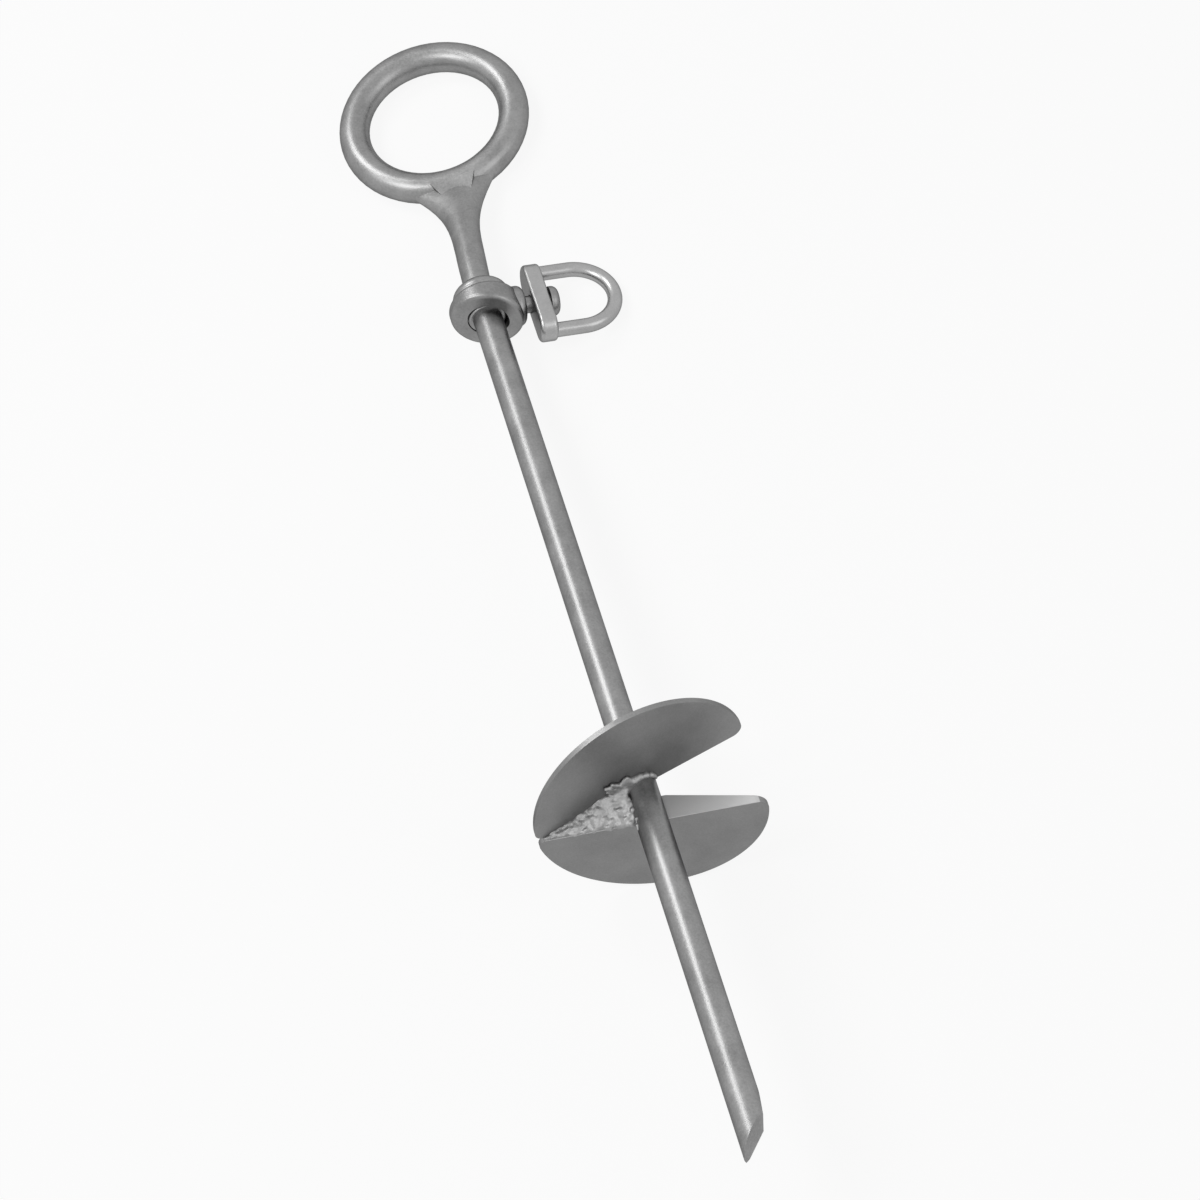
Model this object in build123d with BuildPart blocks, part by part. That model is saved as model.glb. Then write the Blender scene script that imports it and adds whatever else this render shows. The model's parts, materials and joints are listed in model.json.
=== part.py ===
"""Screw earth anchor: an eye shaft with two half-disc blades welded on, and a swivel collar with a D-bow.

Millimetres. Every piece is drawn upright about the rod's axis: Z runs toward the eye, X is the side of
the swivel pin, and +Y is the side that meets the ground. rest_location() then lays the anchor down on
its blade rim and its eye, and puts the origin under the middle of the whole part.
"""
import os
from math import asin, atan, cos, degrees, radians, sin

from build123d import *

# ---- driving dimensions -------------------------------------------------------------------------
rod_d = 14.3                    # 9/16 in bar
blade_d = 100.0                 # 4 in flight
eye_r = 40.7                    # eye ring, centre of its bar
eye_bar_r = 7.6
eye_z = 410.4                   # eye centre above the flight's datum
eye_offset = 5.0                # the eye is forged a little to the pin's side
eye_lean = 5.5                  # and set back, so that it lies flat on the ground
tip_z = -197.0

flange_z = 288.6                # fixed flange above the collar
flange_r = 13.8
flange_t = 7.4

near_slope = 0.2117             # rise per mm of each half-disc's flat underside, from the left rim
far_slope = -0.169
flight_z = -19.6                # where both undersides meet at the left rim
rim_t = 2.6
root_t = 12.0
corner_r = 5.0

collar_gap = 0.55               # radial play of the collar on the rod
end_gap = 0.5                   # play along the axis at each end of the collar
ring_t = 6.4                    # thin side of the collar
ring_r = 17.2
wedge_slope = 0.27              # its underside falls away toward the pin's boss
boss_r = 9.8
boss_x = 19.2
pin_r = 4.2
pin_gap = 0.4
pin_z = 280.0
head_r = 7.3
head_t = 4.4
head_gap = 0.8

bow_back = 22.4                 # bow base: back face, thickness, length and width
base_t = 8.6
base_l = 46.0
base_w = 15.6
bow_bar_r = 3.6
bow_straight = 45.0

# ---- sizes that follow --------------------------------------------------------------------------
rod_r = rod_d / 2
blade_r = blade_d / 2
flange_low = flange_z - flange_t / 2
collar_top = flange_low - end_gap
bore_r = rod_r + collar_gap
stop_r = rod_r + 2.0
stop_t = 2.4
bow_arm = base_l / 2 - bow_bar_r - 0.5
bow_reach = bow_straight + bow_arm
big = 4 * blade_d


def underside_z(slope):
    """Height of a half-disc's flat underside at the rod's axis."""
    return flight_z + slope * blade_r


def eye_frame():
    """The eye's own plane: X to the side, Y up along the eye, Z away from the ground."""
    return Plane(origin=(eye_offset, 0, eye_z), x_dir=(1, 0, 0),
                 z_dir=(0, -cos(radians(eye_lean)), -sin(radians(eye_lean))))


# ---- shaft --------------------------------------------------------------------------------------
def ground_point(part_z, azimuth, lean, reach):
    """A large block whose face grinds one facet of the point."""
    with BuildPart() as cutter:
        Box(big, big, big, align=(Align.MIN, Align.CENTER, Align.CENTER))
    turn = Rot(0, 0, azimuth) * Pos(reach, 0, part_z) * Rot(0, lean, 0)
    return turn * cutter.part


def make_shaft():
    neck_z = flange_z + flange_t / 2
    ring_plane = eye_frame()
    with BuildPart() as shaft:
        with BuildSketch(Plane.XY.offset(tip_z)):
            Circle(rod_r)
        extrude(amount=neck_z - tip_z)
        add(ground_point(-167, 14, 9, rod_r), mode=Mode.SUBTRACT)
        add(ground_point(-184, -22, 38, 5.4), mode=Mode.SUBTRACT)
        add(ground_point(-184, 40, 34, 5.4), mode=Mode.SUBTRACT)

        # fixed flange: a full round bead
        with BuildSketch(Plane.XZ) as bead:
            with Locations((flange_r / 2, flange_z)):
                RectangleRounded(flange_r, flange_t, flange_t / 2 - 0.1)
            with Locations((flange_r / 4, flange_z)):
                Rectangle(flange_r / 2, flange_t)
        revolve(axis=Axis.Z)

        # neck: round at the flange, flaring sideways into the eye
        bottom = ring_plane.from_local_coords(Vector(0, -eye_r, 0))
        sink = bottom.Y
        sections = [
            (neck_z - 3.0, 0.0, 0.0, rod_r, rod_r),
            (neck_z + 14, 0.16, 0.0, rod_r - 0.15, rod_r - 0.1),
            (neck_z + 36, 0.45, 0.2, rod_r + 0.1, rod_r - 0.15),
            (neck_z + 53, 0.68, 0.55, rod_r + 2.6, rod_r - 0.25),
            (neck_z + 67, 0.88, 0.85, rod_r + 8.8, rod_r - 0.9),
            (neck_z + 77, 0.97, 1.0, rod_r + 15.0, rod_r - 2.4),
        ]
        for z, side, down, half_w, half_t in sections:
            with BuildSketch(Plane(origin=(eye_offset * side, sink * down, z))):
                Ellipse(half_w, half_t) if abs(half_w - half_t) > 1e-6 else Circle(half_w)
        loft()

        # eye
        with Locations(Location(ring_plane)):
            Torus(eye_r, eye_bar_r)

        # raised flat where the neck meets the eye, the same on both faces
        with BuildSketch(ring_plane):
            with BuildLine():
                Polyline((-11.5, -42), (11.5, -42), (5.2, -57.6), (-4.6, -58.6), close=True)
            make_face()
        extrude(amount=rod_r + 0.15, both=True)
    shaft.part.label = "shaft"
    return shaft


# ---- flight -------------------------------------------------------------------------------------
def make_blade(name, slope, side):
    """One half-disc: flat underneath, thin at the rim and thick at the root, standing on the rod."""
    wide = blade_r * 1.1
    fall = (root_t - rim_t) / (blade_r - rod_r)
    with BuildPart() as blade:
        with BuildSketch(Plane.XZ):
            with BuildLine():
                Polyline((0, 0), (wide, 0), (wide, rim_t - fall * (wide - blade_r)),
                         (rod_r, root_t), (0, root_t), close=True)
            make_face()
        revolve(axis=Axis.Z)
    tilted = Pos(0, 0, underside_z(slope)) * Rot(0, -degrees(atan(slope)), 0) * blade.part
    with BuildPart() as half:
        with BuildSketch(Plane.XY.offset(-blade_r)):
            Circle(blade_r)
            with Locations((0, -side * blade_r)):
                Rectangle(2.2 * blade_r, blade_d, mode=Mode.SUBTRACT)
            fillet(vertices(), radius=corner_r)
            Circle(rod_r, mode=Mode.SUBTRACT)
        extrude(amount=blade_d)
        add(tilted, mode=Mode.INTERSECT)
    half.part.label = name
    return half


def make_weld(shaft, near, far):
    """Weld metal: a tapering fillet along the left seam, and a lump where it runs up to the rod."""
    near_z, far_z = underside_z(near_slope), underside_z(far_slope)
    with BuildPart() as weld:
        for x, w in ((-46.0, 1.2), (-26.0, 4.2), (-4.0, 9.0)):
            top, low = near_z + near_slope * x, far_z + far_slope * x
            with BuildSketch(Plane(origin=(x, 0, 0), x_dir=(0, 1, 0), z_dir=(1, 0, 0))):
                with BuildLine():
                    Polyline((1.5, low + 0.6), (1.5, top + 1.5), (-w, top + 1.5), (-w, top - 0.3),
                             (0.0, low + 0.3), close=True)
                make_face()
        loft(ruled=True)
        with Locations((-7.5, -7.0, near_z - 3.0)):
            Sphere(8.0)
        with Locations((-7.8, -1.0, far_z - 1.2)):
            Sphere(4.4)
        with BuildSketch(Plane.XZ):
            with BuildLine():
                Polyline((0, near_z - 9), (rod_r + 0.4, near_z - 9), (rod_r + 2.0, near_z - 3),
                         (rod_r + 6, near_z + 1.5), (0, near_z + 1.5), close=True)
            make_face()
        revolve(axis=Axis.Z, revolution_arc=180)
        add(far.part, mode=Mode.SUBTRACT)
        add(near.part, mode=Mode.SUBTRACT)
        add(shaft.part, mode=Mode.SUBTRACT)
    weld.part.label = "blade_weld"
    return weld


# ---- collar and bow -----------------------------------------------------------------------------
def make_stop_ring(low):
    with BuildPart() as stop:
        with BuildSketch(Plane.XZ):
            with Locations(((rod_r + stop_r) / 2, low - stop_t / 2)):
                Rectangle(stop_r - rod_r, stop_t)
            fillet(vertices().group_by(Axis.X)[-1], radius=0.8)
        revolve(axis=Axis.Z)
    stop.part.label = "stop_ring"
    return stop


def make_swivel_ring(seat_z):
    """Collar: a ring that thickens toward the boss, with the pin and its riveted head in one piece."""
    bow_front = bow_back + base_t
    with BuildPart() as ring:
        with Locations((0, 0, collar_top)):
            Cylinder(ring_r, 4 * ring_t, align=(Align.CENTER, Align.CENTER, Align.MAX))
        with BuildSketch(Plane.XZ):
            with BuildLine():
                thin = collar_top - ring_t
                Polyline((-2 * ring_r, thin + wedge_slope * ring_r), (2 * ring_r, thin - 3 * wedge_slope * ring_r),
                         (2 * ring_r, thin - 4 * ring_r), (-2 * ring_r, thin - 4 * ring_r), close=True)
            make_face()
        extrude(amount=2 * ring_r, both=True, mode=Mode.SUBTRACT)
        fillet(ring.edges(), radius=2.2)
        with BuildSketch(Plane.YZ.offset(5)):
            with Locations((0, pin_z)):
                Circle(boss_r)
        extrude(amount=boss_x - 5)
        crown = ring.faces().sort_by(Axis.X)[-1]
        fillet(crown.edges(), radius=3.4)
        with Locations((0, 0, collar_top)):
            Cylinder(flange_r + 0.8, big, align=(Align.CENTER, Align.CENTER, Align.MIN), mode=Mode.SUBTRACT)
        Cylinder(bore_r, 3 * eye_z, mode=Mode.SUBTRACT)
        with Locations((0, 0, seat_z)):
            Cylinder(stop_r + 0.6, big, align=(Align.CENTER, Align.CENTER, Align.MAX), mode=Mode.SUBTRACT)
        # pin, and its domed head beyond the bow's base
        with BuildSketch(Plane.YZ.offset(boss_x - 4)):
            with Locations((0, pin_z)):
                Circle(pin_r)
        extrude(amount=bow_front + 2 - boss_x + 4)
        with BuildSketch(Plane.YZ.offset(bow_front + head_gap)):
            with Locations((0, pin_z)):
                Circle(head_r)
        extrude(amount=head_t)
        fillet(ring.faces().sort_by(Axis.X)[-1].edges(), radius=head_t - 1.2)
    ring.part.label = "swivel_ring"
    return ring


def make_bow():
    with BuildPart() as bow:
        with BuildSketch(Plane.YZ.offset(bow_back)):
            with Locations((0, pin_z)):
                SlotOverall(base_l, base_w, rotation=90)
        extrude(amount=base_t)
        fillet(bow.edges(), radius=1.8)
        with BuildSketch(Plane.YZ.offset(bow_back)):
            with Locations((0, pin_z)):
                Circle(pin_r + pin_gap)
        extrude(amount=base_t, mode=Mode.SUBTRACT)
        with BuildLine() as path:
            start = bow_back + base_t - 2.0
            Line((start, 0, pin_z + bow_arm), (bow_straight, 0, pin_z + bow_arm))
            ThreePointArc((bow_straight, 0, pin_z + bow_arm), (bow_reach, 0, pin_z),
                          (bow_straight, 0, pin_z - bow_arm))
            Line((bow_straight, 0, pin_z - bow_arm), (start, 0, pin_z - bow_arm))
        with BuildSketch(Plane.YZ.offset(start)):
            with Locations((0, pin_z + bow_arm)):
                Circle(bow_bar_r)
        sweep(path=path.line)
    bow.part.label = "bow"
    return bow


# ---- the anchor at rest -------------------------------------------------------------------------
def lie_down(slope):
    """Upright to lying: Z toward the eye becomes +Y, the ground side faces down, the eye end is lower."""
    return Rot(-slope, 0, 0) * Rot(-90, 0, 0)


def lowest(solid, turn):
    """Lowest point of a solid once it is turned, from its facets."""
    return min((turn * Pos(v.X, v.Y, v.Z)).position.Z for v in solid.tessellate(0.02)[0])


def rest_slope(shaft, far):
    """The slope at which the far blade's rim and the eye reach the ground together."""
    slope = degrees(asin((blade_r - eye_bar_r) / (eye_z - flight_z)))
    for _ in range(3):
        turn = lie_down(slope)
        slope += degrees((lowest(shaft, turn) - lowest(far, turn)) / (eye_z - flight_z))
    return slope


shaft = make_shaft()
near = make_blade("upper_blade", near_slope, -1)
far = make_blade("lower_blade", far_slope, 1)
weld = make_weld(shaft, near, far)
seat_z = collar_top - ring_t - 0.6
stop_ring = make_stop_ring(seat_z - end_gap)
swivel_ring = make_swivel_ring(seat_z)
bow = make_bow()

slope = rest_slope(shaft.part, far.part)
lying = lie_down(slope)
ground = lowest(far.part, lying)
axis_height = (lying * Pos(0, 0, pin_z)).position.Z - ground
droop = degrees(asin((axis_height - bow_bar_r - 0.05) / (bow_reach * cos(radians(slope)))))
hang = Rot(0, 0, droop)

upright = {
    "shaft": shaft.part, "upper_blade": near.part, "lower_blade": far.part, "blade_weld": weld.part,
    "stop_ring": stop_ring.part, "swivel_ring": hang * swivel_ring.part, "bow": hang * bow.part,
}
laid = {name: lying * solid for name, solid in upright.items()}
boxes = [solid.bounding_box() for solid in laid.values()]
low = [min(getattr(b.min, k) for b in boxes) for k in "XY"] + [ground]
high = [max(getattr(b.max, k) for b in boxes) for k in "XYZ"]
home = Pos(-(low[0] + high[0]) / 2, -(low[1] + high[1]) / 2, -low[2])

os.makedirs("parts", exist_ok=True)
for name, solid in laid.items():
    piece = home * solid
    piece.label = name
    export_step(piece, f"parts/{name}.step")

place = home * lying
print("slope", slope, "droop", droop, "size", [h - l for l, h in zip(low, high)])
print("collar centre", place * Pos(0, 0, pin_z), "pin centre", place * hang * Pos(bow_back, 0, pin_z))
print("eye centre", place * Location(eye_frame()), "datum", place)
for name, solid in laid.items():
    print(name, round(solid.volume), solid.is_valid, len(solid.solids()))
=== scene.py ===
"""Dresses the screw earth anchor: satin forged steel, rough weld metal, a pale floor and soft light."""
import json
import math
import random

import bpy
from mathutils import Euler, Matrix, Vector


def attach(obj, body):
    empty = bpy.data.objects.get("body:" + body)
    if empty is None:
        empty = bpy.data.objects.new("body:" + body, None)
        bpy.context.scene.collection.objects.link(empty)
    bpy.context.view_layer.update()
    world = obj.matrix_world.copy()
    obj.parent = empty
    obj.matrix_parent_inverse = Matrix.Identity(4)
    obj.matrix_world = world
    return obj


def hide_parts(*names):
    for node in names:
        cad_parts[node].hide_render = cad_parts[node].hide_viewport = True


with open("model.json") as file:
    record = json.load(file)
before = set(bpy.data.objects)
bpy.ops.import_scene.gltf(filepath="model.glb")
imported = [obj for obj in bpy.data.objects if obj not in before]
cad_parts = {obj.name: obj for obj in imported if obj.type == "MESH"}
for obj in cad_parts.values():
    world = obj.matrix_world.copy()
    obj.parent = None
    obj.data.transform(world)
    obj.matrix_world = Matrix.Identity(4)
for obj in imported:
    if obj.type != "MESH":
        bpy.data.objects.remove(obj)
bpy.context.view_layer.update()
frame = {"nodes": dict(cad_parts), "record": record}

bl_info = {
    "name": "Screw Earth Anchor",
    "version": (1, 0, 0),
    "blender": (4, 5, 0),
    "location": "View3D > Sidebar > Anchor",
    "description": "Finishes a screw earth anchor with a swivel bow",
    "category": "Object",
}


# ---- values a user would change -----------------------------------------------------------------
def colour(name, description, default):
    return bpy.props.FloatVectorProperty(
        name=name, description=description, subtype="COLOR", size=4, min=0.0, max=1.0, default=default)


class SteelValues(bpy.types.PropertyGroup):
    shaft_colour: colour("Shaft", "Forged steel of the rod and eye", (0.27, 0.27, 0.27, 1))
    blade_colour: colour("Blades", "Plate of the screw flight", (0.25, 0.25, 0.25, 1))
    collar_colour: colour("Collar", "Swivel collar and pin", (0.25, 0.25, 0.25, 1))
    bow_colour: colour("Bow", "Brighter steel of the bow", (0.37, 0.37, 0.37, 1))
    # painted highlight: a lighter grey for the lower blade's face through the rod's axis
    cut_face_highlight_colour: colour("Cut face highlight", "Painted highlight on the lower blade's cut face", (0.52, 0.52, 0.52, 1))
    weld_colour: colour("Weld", "Weld metal", (0.34, 0.34, 0.34, 1))
    roughness: bpy.props.FloatProperty(
        name="Roughness", description="Satin sheen of the steel", subtype="FACTOR", min=0, max=1, default=0.36)
    mottle: bpy.props.FloatProperty(
        name="Mottle", description="How far the grey varies", subtype="FACTOR", min=0, max=1, default=0.22)


def length(name, description, default):
    return bpy.props.FloatProperty(
        name=name, description=description, subtype="DISTANCE", unit="LENGTH", default=default, precision=5)


class WeldValues(bpy.types.PropertyGroup):
    pin_height: length("Pin height", "Height of the bow's pin above the flight's datum, along the rod", 0.28)
    seam_height: length("Seam height", "Where both blades' undersides meet at the left rim", -0.0196)
    blade_radius: length("Blade radius", "Radius of the flight", 0.05)
    rod_radius: length("Rod radius", "Radius of the rod", 0.00715)
    near_rise: bpy.props.FloatProperty(name="Near rise",
        description="Rise of the near blade's underside", default=0.2117)
    far_fall: bpy.props.FloatProperty(name="Far fall",
        description="Fall of the far blade's underside", default=0.169)
    seam_start: length("Seam start", "How far out along the seam the weld begins", 0.046)
    leg: length("Leg", "Widest leg of the fillet, at the rod", 0.0080)
    drop: length("Drop", "Radius of one drop of weld metal", 0.0018)
    finger: length("Finger", "Longest spatter finger up the near blade", 0.017)
    voxel: length("Facet size", "Size of the weld metal's facets", 0.00042)
    lumps: length("Lumps", "Height of the weld metal's ripples", 0.0006)


class StageValues(bpy.types.PropertyGroup):
    floor_colour: colour("Floor", "Pale floor", (0.92, 0.92, 0.92, 1))
    floor_size: bpy.props.FloatProperty(
        name="Floor size", description="Width of the floor", subtype="DISTANCE", unit="LENGTH", default=12.0)
    key_power: bpy.props.FloatProperty(
        name="Key light", description="Power of the main softbox", subtype="POWER", unit="POWER", default=9.0)
    side_power: bpy.props.FloatProperty(
        name="Side light", description="Power of the softbox at the left", subtype="POWER", unit="POWER", default=9.0)
    fill_power: bpy.props.FloatProperty(
        name="Fill light", description="Power of the fill softbox", subtype="POWER", unit="POWER", default=5.0)
    sky: bpy.props.FloatProperty(
        name="Sky", description="Strength of the even light all round", min=0, default=0.22)
    camera_place: bpy.props.FloatVectorProperty(
        name="Camera place", description="Where the camera stands", subtype="TRANSLATION", unit="LENGTH",
        default=(0.00609, -0.90634, 1.46518))
    camera_turn: bpy.props.FloatVectorProperty(
        name="Camera turn", description="How the camera is turned", subtype="EULER", unit="ROTATION",
        default=tuple(math.radians(a) for a in (29.98, 9.63, -15.827)))
    camera_lens: bpy.props.FloatProperty(
        name="Lens", description="Focal length in millimetres", default=111.5)


# the weld's make-up: counts, degrees round the rod, and metres
SEAM_STATIONS, ROOT_DROPS, RUN_DROPS, FINGERS = 40, 26, 16, 9
ROW_PITCH = 0.9                 # rows of the fillet, in drops
EDGE_SINK = 0.0004              # the fillet's foot goes into the far blade's edge
FOOT_LIFT = 0.0008              # and stands clear of its underside
ROOT_START, ROOT_SWEEP = 172, 176
RUN_TURN = 198
FINGER_START, FINGER_STEP = 188, 8.0
FINGER_STAND = 0.0009           # a finger's middle lies this far below the near blade's underside
FINGER_ROOT, FINGER_TIP = 0.0025, 0.0008
PLAIN_FLOOR = 0.9               # share of plain white that the floor shows, the rest takes the shadow


# ---- small helpers ------------------------------------------------------------------------------
def deselect():
    if bpy.context.mode != "OBJECT":
        bpy.ops.object.mode_set(mode="OBJECT")
    bpy.ops.object.select_all(action="DESELECT")


def node(tree, kind, place, **inputs):
    made = tree.nodes.new(kind)
    made.location = place
    for key, value in inputs.items():
        made.inputs[key.replace("_", " ")].default_value = value
    return made


def wire(tree, source, out, target, into):
    tree.links.new(source.outputs[out], target.inputs[into])


def socket(group, name, way, kind, default=None, low=None, high=None):
    made = group.interface.new_socket(name=name, in_out=way, socket_type=kind)
    if default is not None:
        made.default_value = default
    if low is not None:
        made.min_value, made.max_value = low, high
    return made


# ---- finishes -----------------------------------------------------------------------------------
def forged_skin():
    """Soft mottling, fine grain and small pits of forged steel under a thin satin coat."""
    group = bpy.data.node_groups.get("Forged skin")
    if group:
        return group
    group = bpy.data.node_groups.new("Forged skin", "ShaderNodeTree")
    socket(group, "Colour", "INPUT", "NodeSocketColor", (0.3, 0.3, 0.3, 1))
    socket(group, "Roughness", "INPUT", "NodeSocketFloat", 0.4, 0, 1)
    socket(group, "Mottle", "INPUT", "NodeSocketFloat", 0.2, 0, 1)
    socket(group, "Mottle size", "INPUT", "NodeSocketFloat", 70, 0, 5000)
    socket(group, "Grain size", "INPUT", "NodeSocketFloat", 900, 0, 20000)
    socket(group, "Colour", "OUTPUT", "NodeSocketColor")
    socket(group, "Roughness", "OUTPUT", "NodeSocketFloat")
    socket(group, "Height", "OUTPUT", "NodeSocketFloat")
    given = node(group, "NodeGroupInput", (-900, 0))
    result = node(group, "NodeGroupOutput", (700, 0))
    where = node(group, "ShaderNodeTexCoord", (-900, -300))
    cloud = node(group, "ShaderNodeTexNoise", (-650, 150), Detail=4.0, Roughness=0.6)
    grain = node(group, "ShaderNodeTexNoise", (-650, -150), Detail=6.0, Roughness=0.7)
    pits = node(group, "ShaderNodeTexVoronoi", (-650, -450), Randomness=1.0)
    for tex, size in ((cloud, "Mottle size"), (grain, "Grain size"), (pits, "Grain size")):
        wire(group, where, "Object", tex, "Vector")
        wire(group, given, size, tex, "Scale")
    both = node(group, "ShaderNodeMath", (-420, 50))
    both.operation = "ADD"
    wire(group, cloud, "Fac", both, 0)
    wire(group, grain, "Fac", both, 1)
    swing = node(group, "ShaderNodeMapRange", (-230, 50), From_Min=0.7, From_Max=1.3, To_Min=-1.0,
        To_Max=1.0)
    wire(group, both, "Value", swing, "Value")
    amount = node(group, "ShaderNodeMath", (-40, 50))
    amount.operation = "MULTIPLY"
    wire(group, swing, "Result", amount, 0)
    wire(group, given, "Mottle", amount, 1)
    gain = node(group, "ShaderNodeMath", (140, 50))
    gain.operation = "ADD"
    gain.inputs[1].default_value = 1.0
    wire(group, amount, "Value", gain, 0)
    tint = node(group, "ShaderNodeVectorMath", (320, 150))
    tint.operation = "SCALE"
    wire(group, given, "Colour", tint, "Vector")
    wire(group, gain, "Value", tint, "Scale")
    wire(group, tint, "Vector", result, "Colour")
    rough = node(group, "ShaderNodeMath", (320, -50))
    rough.operation = "MULTIPLY_ADD"
    rough.inputs[1].default_value = 0.25
    wire(group, amount, "Value", rough, 0)
    wire(group, given, "Roughness", rough, 2)
    wire(group, rough, "Value", result, "Roughness")
    dent = node(group, "ShaderNodeMapRange", (-230, -400), From_Min=0.0, From_Max=0.35, To_Min=0.0,
        To_Max=1.0)
    wire(group, pits, "Distance", dent, "Value")
    high = node(group, "ShaderNodeMath", (320, -300))
    high.operation = "MULTIPLY_ADD"
    high.inputs[1].default_value = 0.35
    wire(group, dent, "Result", high, 0)
    wire(group, both, "Value", high, 2)
    wire(group, high, "Value", result, "Height")
    return group


def cut_face():
    """1 on the flat face that passes through the rod's axis, 0 elsewhere."""
    group = bpy.data.node_groups.get("Cut face")
    if group:
        return group
    group = bpy.data.node_groups.new("Cut face", "ShaderNodeTree")
    socket(group, "Across", "INPUT", "NodeSocketVector", (0, 0, 1))
    socket(group, "Level", "INPUT", "NodeSocketFloat", 0.0)
    socket(group, "Depth", "INPUT", "NodeSocketFloat", 0.0004)
    socket(group, "Mask", "OUTPUT", "NodeSocketFloat")
    given = node(group, "NodeGroupInput", (-600, 0))
    result = node(group, "NodeGroupOutput", (300, 0))
    where = node(group, "ShaderNodeTexCoord", (-600, -200))
    far = node(group, "ShaderNodeVectorMath", (-350, 0))
    far.operation = "DOT_PRODUCT"
    wire(group, where, "Object", far, 0)
    wire(group, given, "Across", far, 1)
    near = node(group, "ShaderNodeMath", (0, 0))
    near.operation = "COMPARE"
    wire(group, far, "Value", near, 0)
    wire(group, given, "Level", near, 1)
    wire(group, given, "Depth", near, 2)
    wire(group, near, "Value", result, "Mask")
    return group


def paint_highlight_on_cut_face(material, tone, pin_height):
    """Paints a highlight on the face through the rod's axis: that face is drawn in a lighter grey than the rest of
    the plate.
    """
    tree = material.node_tree
    place = upright(pin_height)
    across = place.to_3x3().col[1]
    mask = node(tree, "ShaderNodeGroup", (-650, 250))
    mask.node_tree = cut_face()
    mask.inputs["Across"].default_value = across
    mask.inputs["Level"].default_value = across.dot(place.translation)
    mix = node(tree, "ShaderNodeMix", (-200, 250))
    mix.data_type = "RGBA"
    skin = next(n for n in tree.nodes if n.type == "GROUP" and n.node_tree == forged_skin())
    shader = next(n for n in tree.nodes if n.type == "BSDF_PRINCIPLED")
    tree.links.new(mask.outputs["Mask"], mix.inputs["Factor"])
    tree.links.new(skin.outputs["Colour"], next(i for i in mix.inputs if i.identifier == "A_Color"))
    # painted highlight: the face through the rod's axis takes the lighter grey
    next(i for i in mix.inputs if i.identifier == "B_Color").default_value = tone
    tree.links.new(next(o for o in mix.outputs if o.identifier == "Result_Color"),
        shader.inputs["Base Color"])


def steel(name, tone, roughness, mottle, mottle_size=70.0, grain_size=900.0, metallic=1.0, bump=0.25,
          depth=0.0002):
    """A satin steel built on the forged skin."""
    made = bpy.data.materials.new(name)
    made.use_nodes = True
    tree = made.node_tree
    tree.nodes.clear()
    skin = node(tree, "ShaderNodeGroup", (-400, 0))
    skin.node_tree = forged_skin()
    for key, value in (("Colour", tone), ("Roughness", roughness), ("Mottle", mottle),
                       ("Mottle size", mottle_size), ("Grain size", grain_size)):
        skin.inputs[key].default_value = value
    shader = node(tree, "ShaderNodeBsdfPrincipled", (0, 0), Metallic=metallic)
    shader.inputs["Specular Tint"].default_value = (0.4, 0.4, 0.4, 1)
    out = node(tree, "ShaderNodeOutputMaterial", (300, 0))
    raised = node(tree, "ShaderNodeBump", (-200, -200), Strength=bump, Distance=depth)
    wire(tree, skin, "Colour", shader, "Base Color")
    wire(tree, skin, "Roughness", shader, "Roughness")
    wire(tree, skin, "Height", raised, "Height")
    wire(tree, raised, "Normal", shader, "Normal")
    wire(tree, shader, "BSDF", out, "Surface")
    return made


def upright(pin_height):
    """The anchor's own axes: Z up the rod from the flight's datum, X to the bow's side, Y toward the ground."""
    joint = next(j for j in frame["record"]["behaviour"]["joints"] if j["name"] == "collar_swivel")
    along = Vector(joint["axis"]).normalized()
    side = Vector((1, 0, 0))
    turn = Matrix((side, along.cross(side), along)).transposed().to_4x4()
    return Matrix.Translation(Vector(joint["pos_m"]) - pin_height * along) @ turn


def plain_rays(tree, share):
    """Camera, mirror and glass rays see this much of the white backdrop. None of it lights the object."""
    ray = node(tree, "ShaderNodeLightPath", (-900, 300))
    found = None
    for step, kind in enumerate(("Is Camera Ray", "Is Glossy Ray", "Is Transmission Ray")):
        most = node(tree, "ShaderNodeMath", (-700 + 180 * step, 300))
        most.operation = "MAXIMUM"
        wire(tree, ray, kind, most, 0)
        if found:
            wire(tree, found, "Value", most, 1)
        else:
            most.inputs[1].default_value = 0.0
        found = most
    part = node(tree, "ShaderNodeMath", (-100, 300))
    part.operation = "MULTIPLY"
    part.inputs[1].default_value = share
    wire(tree, found, "Value", part, 0)
    return part


def wear(name, material):
    """Gives a CAD node its material."""
    held = frame["nodes"][name].data.materials
    if len(held):
        held[0] = material
    else:
        held.append(material)


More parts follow.
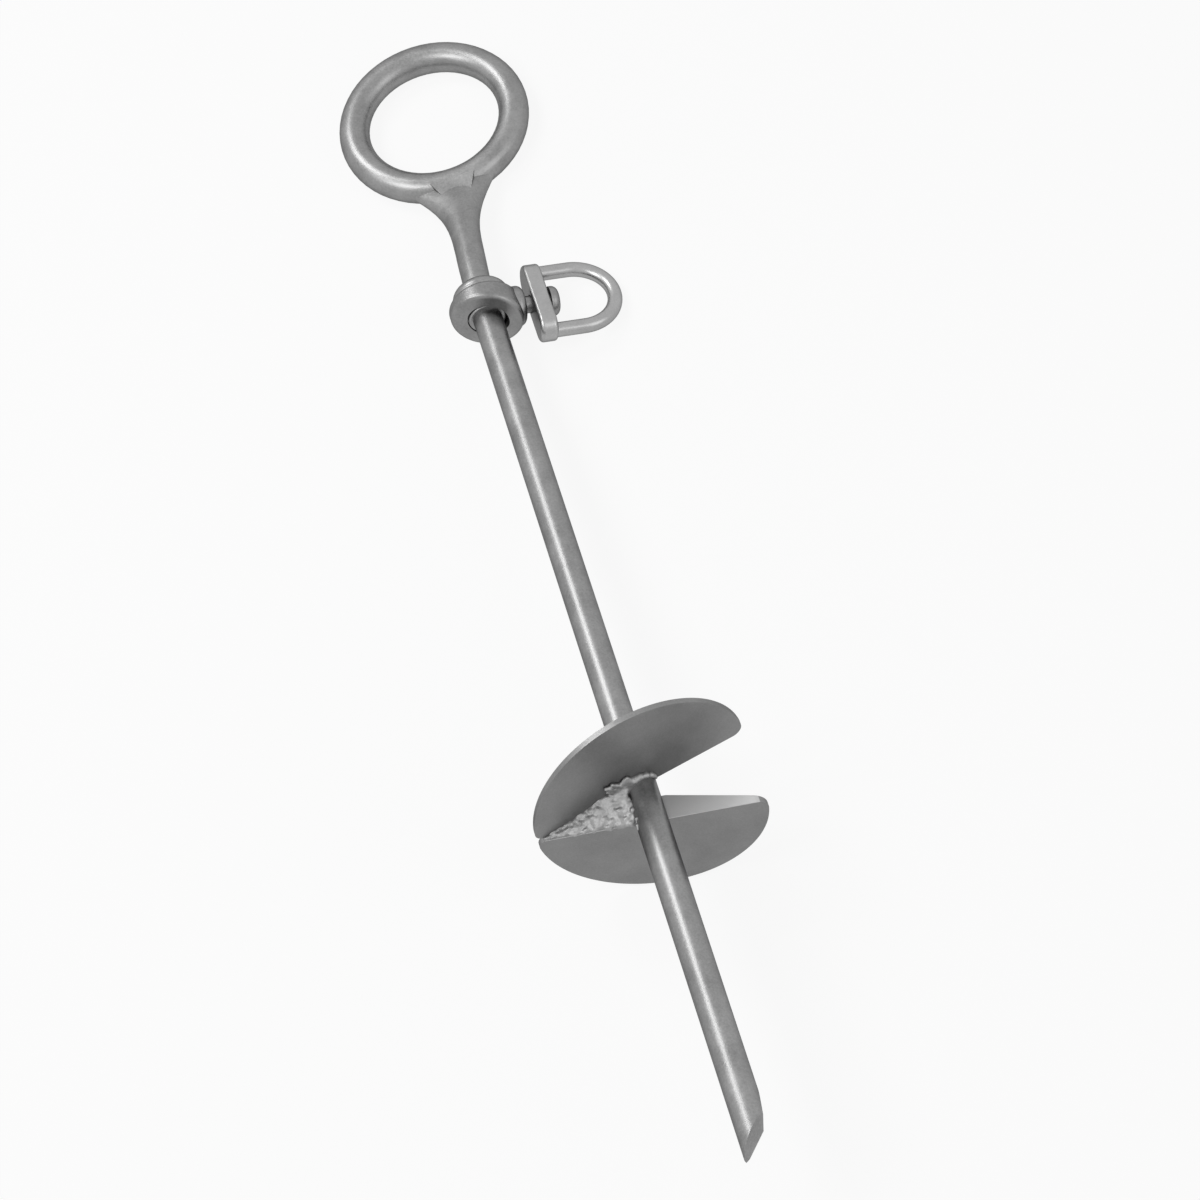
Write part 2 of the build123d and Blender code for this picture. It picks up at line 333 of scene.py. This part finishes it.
# ---- operators ----------------------------------------------------------------------------------
class ANCHOR_OT_stage(bpy.types.Operator):
    """Pale floor, soft light and the camera"""
    bl_idname = "anchor.stage"
    bl_label = "Stage"

    def execute(self, context):
        values = context.scene.anchor_stage
        scene = context.scene
        scene.view_settings.view_transform = "Standard"
        deselect()
        bpy.ops.mesh.primitive_plane_add(size=values.floor_size, location=(0, 0, 0))
        floor = context.active_object
        floor.name = "floor"
        paint = bpy.data.materials.new("pale floor")
        paint.use_nodes = True
        tree = paint.node_tree
        tree.nodes.clear()
        plain = node(tree, "ShaderNodeBsdfDiffuse", (0, 0), Color=values.floor_colour)
        white = node(tree, "ShaderNodeEmission", (0, -200), Color=(1, 1, 1, 1), Strength=1.0)
        part = node(tree, "ShaderNodeMixShader", (300, 0))
        share = plain_rays(tree, PLAIN_FLOOR)
        out = node(tree, "ShaderNodeOutputMaterial", (550, 0))
        wire(tree, share, "Value", part, "Fac")
        wire(tree, plain, "BSDF", part, 1)
        wire(tree, white, "Emission", part, 2)
        wire(tree, part, "Shader", out, "Surface")
        floor.data.materials.append(paint)

        world = bpy.data.worlds.new("studio")
        world.use_nodes = True
        tree = world.node_tree
        tree.nodes.clear()
        seen = plain_rays(tree, 1.0)
        light = node(tree, "ShaderNodeBackground", (-250, -50), Color=(1, 1, 1, 1), Strength=values.sky)
        back = node(tree, "ShaderNodeBackground", (-250, -200), Color=(1, 1, 1, 1), Strength=1.0)
        part = node(tree, "ShaderNodeMixShader", (0, 0))
        out = node(tree, "ShaderNodeOutputWorld", (250, 0))
        wire(tree, seen, "Value", part, "Fac")
        wire(tree, light, "Background", part, 1)
        wire(tree, back, "Background", part, 2)
        wire(tree, part, "Shader", out, "Surface")
        scene.world = world

        for name, power, size, place in (
                ("key", values.key_power, 0.7, (-0.75, 1.15, 1.45)),
                ("side", values.side_power, 0.8, (-0.9, -0.1, 1.5)),
                ("fill", values.fill_power, 1.2, (1.3, -0.9, 1.2)),
        ):
            lamp = bpy.data.lights.new(name, "AREA")
            lamp.energy, lamp.size = power, size
            holder = bpy.data.objects.new(name, lamp)
            scene.collection.objects.link(holder)
            holder.location = place
            holder.rotation_euler = (-Vector(place)).to_track_quat("-Z", "Y").to_euler()

        lens = bpy.data.cameras.new("camera")
        lens.lens, lens.sensor_width = values.camera_lens, 36.0
        holder = bpy.data.objects.new("camera", lens)
        scene.collection.objects.link(holder)
        holder.location = values.camera_place
        holder.rotation_euler = Euler(values.camera_turn, "XYZ")
        scene.camera = holder
        return {"FINISHED"}


class ANCHOR_OT_shaft(bpy.types.Operator):
    """Forged rod, eye and stop ring"""
    bl_idname = "anchor.shaft"
    bl_label = "Shaft"

    def execute(self, context):
        values = context.scene.anchor_steel
        forged = steel("forged shaft", values.shaft_colour, values.roughness, values.mottle)
        wear("shaft", forged)
        wear("stop_ring", forged)
        return {"FINISHED"}


class ANCHOR_OT_flight(bpy.types.Operator):
    """The two half-disc blades"""
    bl_idname = "anchor.flight"
    bl_label = "Flight"

    def execute(self, context):
        values = context.scene.anchor_steel
        plate = steel("blade plate", values.blade_colour, values.roughness + 0.06, values.mottle * 0.7,
                      mottle_size=45.0, grain_size=1200.0)
        wear("upper_blade", plate)
        # a copy of the blade plate with a painted highlight on its face through the rod's axis
        cut = steel("blade plate with painted highlight", values.blade_colour, values.roughness + 0.06,
            values.mottle * 0.7,
                    mottle_size=45.0, grain_size=1200.0)
        paint_highlight_on_cut_face(cut, values.cut_face_highlight_colour, context.scene.anchor_weld.pin_height)
        wear("lower_blade", cut)
        return {"FINISHED"}


# ---- weld metal ---------------------------------------------------------------------------------
def drop_at(radius, place):
    """Adds one drop of metal to the mesh that is being edited."""
    bpy.ops.mesh.primitive_ico_sphere_add(subdivisions=2, radius=radius, location=place)


def seam_fillet(values, near_z, far_z, chance):
    """Rows of drops from the far blade's edge up to the near blade's underside, wider toward the rod."""
    for i in range(SEAM_STATIONS):
        along = i / (SEAM_STATIONS - 1)
        x = -values.seam_start + along * (values.seam_start - values.rod_radius)
        top, low = near_z + values.near_rise * x, far_z - values.far_fall * x
        leg = values.leg * (0.1 + 0.9 * along ** 1.5)
        rows = max(1, round(math.hypot(top - low, leg) / (ROW_PITCH * values.drop)))
        for row in range(rows):
            up = (row + chance.uniform(0.1, 0.9)) / rows
            aside = values.drop * chance.uniform(-0.9, 0.9) * along
            drop = values.drop * chance.uniform(0.75, 1.2) * (0.6 + 0.4 * along)
            drop_at(drop, (x + aside, EDGE_SINK - leg * up, low + FOOT_LIFT + (top - low) * up))


def root_bead(values, near_z, chance):
    """The near blade's root round the rod, thick on the seam's side and thin on the other."""
    last = ROOT_DROPS - 1
    for i in range(ROOT_DROPS):
        turn = math.radians(ROOT_START + ROOT_SWEEP * i / last)
        thick = values.drop * (1.5 - 0.8 * i / last) * chance.uniform(0.85, 1.15)
        out = values.rod_radius + 0.3 * thick
        x, y = out * math.cos(turn), out * math.sin(turn)
        drop_at(thick, (x, y, near_z + values.near_rise * x - 0.4 * thick))


def rod_run(values, near_z, far_z, chance):
    """Metal that ran down the rod on the seam's side."""
    for i in range(RUN_DROPS):
        down = i / (RUN_DROPS - 1)
        turn = math.radians(RUN_TURN + chance.uniform(-16, 16))
        drop = values.drop * (1.1 - 0.5 * down)
        drop_at(drop, (
            values.rod_radius * math.cos(turn), values.rod_radius * math.sin(turn),
            near_z - 0.002 - down * (near_z - far_z + 0.001)))


def spatter(values, near_z, chance):
    """Fingers of metal up the near blade's underside."""
    for i in range(FINGERS):
        turn = math.radians(FINGER_START + FINGER_STEP * i + chance.uniform(-3, 3))
        reach = values.finger * chance.uniform(0.55, 1.0) * (1 - 0.045 * i)
        aim = Vector((math.cos(turn), math.sin(turn), values.near_rise * math.cos(turn)))
        base = Vector((0, 0, near_z - FINGER_STAND)) + aim * (values.rod_radius - 0.001)
        bpy.ops.mesh.primitive_cone_add(
            vertices=12, radius1=FINGER_ROOT, radius2=FINGER_TIP, depth=reach,
            location=base + aim * reach / 2, rotation=aim.to_track_quat("Z", "Y").to_euler())


class ANCHOR_OT_weld(bpy.types.Operator):
    """Rough weld metal at the root of the flight"""
    bl_idname = "anchor.weld"
    bl_label = "Weld"

    def execute(self, context):
        values, look = context.scene.anchor_weld, context.scene.anchor_steel
        chance = random.Random(4)
        near_z = values.seam_height + values.near_rise * values.blade_radius
        far_z = values.seam_height - values.far_fall * values.blade_radius

        deselect()
        bpy.ops.mesh.primitive_ico_sphere_add(
            subdivisions=2, radius=values.drop, location=(-values.rod_radius, 0, near_z - values.drop))
        piece = context.active_object
        piece.name = "rough_weld"
        bpy.ops.object.transform_apply(location=True, rotation=True, scale=True)
        bpy.ops.object.mode_set(mode="EDIT")

        seam_fillet(values, near_z, far_z, chance)
        root_bead(values, near_z, chance)
        rod_run(values, near_z, far_z, chance)
        spatter(values, near_z, chance)
        bpy.ops.object.mode_set(mode="OBJECT")

        fused = piece.modifiers.new("fused", "REMESH")
        fused.mode, fused.voxel_size = "VOXEL", values.voxel
        eased = piece.modifiers.new("eased", "SMOOTH")
        eased.factor, eased.iterations = 0.5, 9
        ripple = bpy.data.textures.new("weld ripple", "CLOUDS")
        ripple.noise_scale, ripple.noise_depth = 0.0032, 2
        rough = piece.modifiers.new("rough", "DISPLACE")
        rough.texture, rough.strength, rough.mid_level = ripple, values.lumps, 0.5
        for modifier in ("fused", "eased", "rough"):
            bpy.ops.object.modifier_apply(modifier=modifier)
        piece.matrix_world = upright(values.pin_height)
        bpy.ops.object.transform_apply(location=True, rotation=True, scale=True)
        bpy.ops.object.shade_smooth()
        piece.data.materials.append(steel(
            "weld metal", look.weld_colour, look.roughness + 0.16, look.mottle * 1.4,
            mottle_size=260.0, grain_size=1100.0, bump=0.12, depth=0.0002))
        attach(piece, "anchor")
        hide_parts("blade_weld")
        return {"FINISHED"}


class ANCHOR_OT_collar(bpy.types.Operator):
    """Swivel collar with its riveted pin"""
    bl_idname = "anchor.collar"
    bl_label = "Collar"

    def execute(self, context):
        values = context.scene.anchor_steel
        wear("swivel_ring", steel("forged collar", values.collar_colour, values.roughness,
            values.mottle))
        return {"FINISHED"}


class ANCHOR_OT_bow(bpy.types.Operator):
    """D-bow"""
    bl_idname = "anchor.bow"
    bl_label = "Bow"

    def execute(self, context):
        values = context.scene.anchor_steel
        wear("bow", steel(
            "bright bow", values.bow_colour, values.roughness - 0.06, values.mottle * 0.5, bump=0.08))
        return {"FINISHED"}


class ANCHOR_PT_panel(bpy.types.Panel):
    """The anchor's pieces"""
    bl_idname = "ANCHOR_PT_panel"
    bl_label = "Screw earth anchor"
    bl_space_type = "VIEW_3D"
    bl_region_type = "UI"
    bl_category = "Anchor"

    def draw(self, context):
        column = self.layout.column(align=True)
        for operator in OPERATORS:
            column.operator(operator.bl_idname)


VALUES = {"anchor_steel": SteelValues, "anchor_weld": WeldValues, "anchor_stage": StageValues}
OPERATORS = (ANCHOR_OT_stage, ANCHOR_OT_shaft, ANCHOR_OT_flight, ANCHOR_OT_weld, ANCHOR_OT_collar,
    ANCHOR_OT_bow)


def register():
    for kind in (*VALUES.values(), *OPERATORS, ANCHOR_PT_panel):
        bpy.utils.register_class(kind)
    for name, kind in VALUES.items():
        setattr(bpy.types.Scene, name, bpy.props.PointerProperty(type=kind))


def unregister():
    for name in VALUES:
        delattr(bpy.types.Scene, name)
    for kind in reversed((*VALUES.values(), *OPERATORS, ANCHOR_PT_panel)):
        bpy.utils.unregister_class(kind)


def main():
    register()
    bpy.ops.anchor.stage()
    bpy.ops.anchor.shaft()
    bpy.ops.anchor.flight()
    bpy.ops.anchor.weld()
    bpy.ops.anchor.collar()
    bpy.ops.anchor.bow()


if __name__ == "__main__":
    main()
